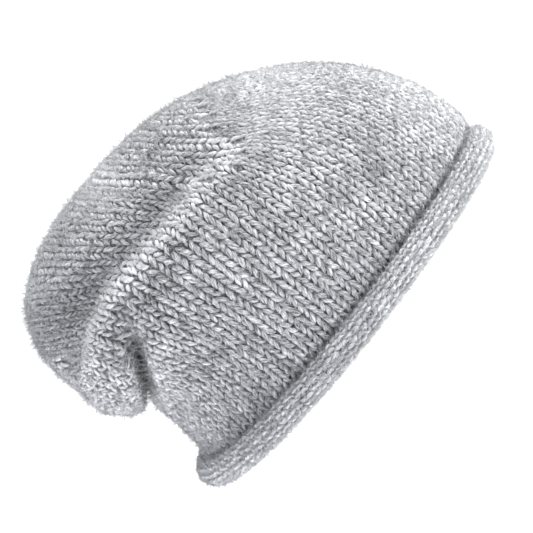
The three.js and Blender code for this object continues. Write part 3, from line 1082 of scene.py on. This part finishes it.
def layFuzz(name, shape, point, normal, along, node, slotName, material):
    count, usual, turns, height, share, thick, steepest = fuzz[name]
    aside = np.cross(normal, along)
    angle = random.normal(0, turns, count)[:, None]
    flat = along * np.cos(angle) + aside * np.sin(angle)
    length = usual * np.exp(random.normal(0, fuzz["lengthVaries"], count))
    standing = random.random(count) < share
    steep = random.uniform(fuzz["gentlest"], steepest, count)
    tilt = np.where(standing, steep, random.normal(0, fuzz["lyingSlope"], count))
    direction = unit(flat + normal * tilt[:, None])
    curl = unit(np.cross(direction, random.normal(0, 1, (count, 3))))
    curl = curl * (length * fuzz["curl"])[:, None]
    rise = np.where(standing, 0, np.abs(random.normal(0, height, count)))
    back = length * np.where(standing, *fuzz["behind"])
    start = point + normal * (fuzz["over"] - fuzz["rooted"] * standing)[:, None]
    start -= direction * back[:, None]
    middle = start + direction * (length * 0.5)[:, None] + curl * 0.5 + normal * rise[:, None]
    end = start + direction * length[:, None]
    thick = np.full(count, thick)
    out = np.stack([normal] * 3, axis=1)
    piece = layStrands(name, shape, np.stack([start, middle, end], axis=1), out, thick, thick, length)
    finishPiece(piece, node, material)
    return piece


def makeFuzz():
    shape = strandShape("fibre", 3, 2, 1)
    inner, spread, ahead = stitch["inner"], stitch["outer"] - stitch["inner"], fuzz["ahead"]
    pieces = []
    for name, material in (("crownNap", napWool), ("crownHalo", haloWool)):
        count = fuzz[name][0]
        pick = stitches[random.integers(0, len(stitches), count)]
        side = np.where(random.random(count) < 0.5, -1, 1)
        place = random.random(count)
        row = pick[:, 1] + stitch["reach"] * (2 * place - 1) * fuzz["legPart"]
        across = side * (inner + spread * place + random.normal(0, fuzz["aside"], count)) * pick[:, 2]
        further = side * spread * pick[:, 2] * ahead / (2 * stitch["reach"])
        rows = np.stack([row, row + ahead], axis=1)
        offsets = np.stack([across, across + further], axis=1)
        point, normal = knitPlace(pick[:, 0], rows, offsets)
        along = unit(point[:, 1] - point[:, 0])
        place = (point[:, 0], normal[:, 0], along)
        pieces.append(layFuzz(name, shape, *place, "crown", "crown_knit", material))
    count = fuzz["brimFuzz"][0]
    share, angle = random.random(count), random.uniform(-math.pi, math.pi, count)
    rootDepth, endDepth = fuzz["brimDepth"]
    point, normal = rollPlace(share, angle, np.full(count, hat["rollRadius"] - rootDepth))
    further, _ = rollPlace(share + 1e-3, angle, np.full(count, hat["rollRadius"] - endDepth))
    along = unit(further - point)
    pieces.append(layFuzz("brimFuzz", shape, point, normal, along, "rolled_brim", "brim_knit", haloWool))
    print("faces of the fuzz:", sum(len(p.data.polygons) for p in pieces))
    return pieces


fuzzPieces = makeFuzz()

# Floor, pale wall and lamps
studio = {
    "radius": 4.0,  # m, of the round floor
    "corners": 96,
    "wall": 1.3,  # m, height of the pale wall round it
    "floorHeight": -0.0015,  # just under the brim's lowest fibres
    "paper": (0.93, 0.93, 0.93),
    "paperRoughness": 0.9,
    "floorGlow": (1.0, 0.38),  # by the hat and further out
    "floorFade": (0.13, 0.21),  # m from the hat's middle
    "wallGlow": (0.05, 1.0),  # on the camera's side and behind the hat
    "wallFade": (-1.6, 1.6),  # m
    "world": 0.7,
    "lampsFace": (0, 0, 0.05),  # m
    # name, place in m, size in m, watts, colour
    "lamps": [
        ("frontLamp", (2.0, 0.2, 0.9), 1.0, 30, (0.99, 1.0, 0.985)),
        ("highLamp", (1.4, -0.1, 1.8), 1.0, 55, (0.99, 1.0, 0.985)),
        ("lowLamp", (-1.7, -0.7, 0.25), 1.0, 15, (0.86, 0.86, 1.0)),
    ],
}


def paperMaterial(name, glow, reach, around):
    # glows from one strength to another over its reach, outwards from the hat or along Y
    paper = bpy.data.materials.new(name)
    paper.use_nodes = True
    shader = paper.node_tree.nodes["Principled BSDF"]
    shader.inputs["Base Color"].default_value = (*studio["paper"], 1)
    shader.inputs["Roughness"].default_value = studio["paperRoughness"]
    shader.inputs["Emission Color"].default_value = (1, 1, 1, 1)
    nodes, links = paper.node_tree.nodes, paper.node_tree.links
    place = nodes.new("ShaderNodeTexCoord")
    if around:
        away = nodes.new("ShaderNodeVectorMath")
        away.operation = "LENGTH"
        links.new(place.outputs["Object"], away.inputs[0])
        distance = away.outputs["Value"]
    else:
        split = nodes.new("ShaderNodeSeparateXYZ")
        links.new(place.outputs["Object"], split.inputs[0])
        distance = split.outputs["Y"]
    fade = nodes.new("ShaderNodeMapRange")
    fade.interpolation_type = "SMOOTHSTEP"
    fade.inputs["From Min"].default_value, fade.inputs["From Max"].default_value = reach
    fade.inputs["To Min"].default_value, fade.inputs["To Max"].default_value = glow
    links.new(distance, fade.inputs["Value"])
    links.new(fade.outputs["Result"], shader.inputs["Emission Strength"])
    return paper


def makeStudio():
    deselectAll()
    rim = {"vertices": studio["corners"], "radius": studio["radius"]}
    bpy.ops.mesh.primitive_circle_add(**rim, fill_type="NGON")
    floor = bpy.context.object
    floor.name = "floor"
    floor.location.z = studio["floorHeight"]
    floor.data.materials.append(paperMaterial("floorPaper", studio["floorGlow"], studio["floorFade"], True))
    deselectAll()
    bpy.ops.mesh.primitive_circle_add(**rim, fill_type="NOTHING")
    wall = bpy.context.object
    wall.name = "paleWall"
    bpy.ops.object.mode_set(mode="EDIT")
    bpy.ops.mesh.select_all(action="SELECT")
    bpy.ops.mesh.extrude_region_move(TRANSFORM_OT_translate={"value": (0, 0, studio["wall"])})
    bpy.ops.object.mode_set(mode="OBJECT")
    wall.data.materials.append(paperMaterial("wallPaper", studio["wallGlow"], studio["wallFade"], False))
    world = bpy.context.scene.world or bpy.data.worlds.new("studio")
    bpy.context.scene.world = world
    world.use_nodes = True
    background = world.node_tree.nodes["Background"]
    background.inputs[0].default_value = (1, 1, 1, 1)
    background.inputs[1].default_value = studio["world"]
    target = Vector(studio["lampsFace"])
    for name, place, size, power, colour in studio["lamps"]:
        lamp = bpy.data.lights.new(name, "AREA")
        lamp.shape = "DISK"
        lamp.size = size
        lamp.energy = power
        lamp.color = colour
        holder = bpy.data.objects.new(name, lamp)
        bpy.context.scene.collection.objects.link(holder)
        holder.location = place
        holder.rotation_euler = (target - Vector(place)).to_track_quat("-Z", "Y").to_euler()
    bpy.context.scene.view_settings.view_transform = "Standard"


makeStudio()
print("studio ready")
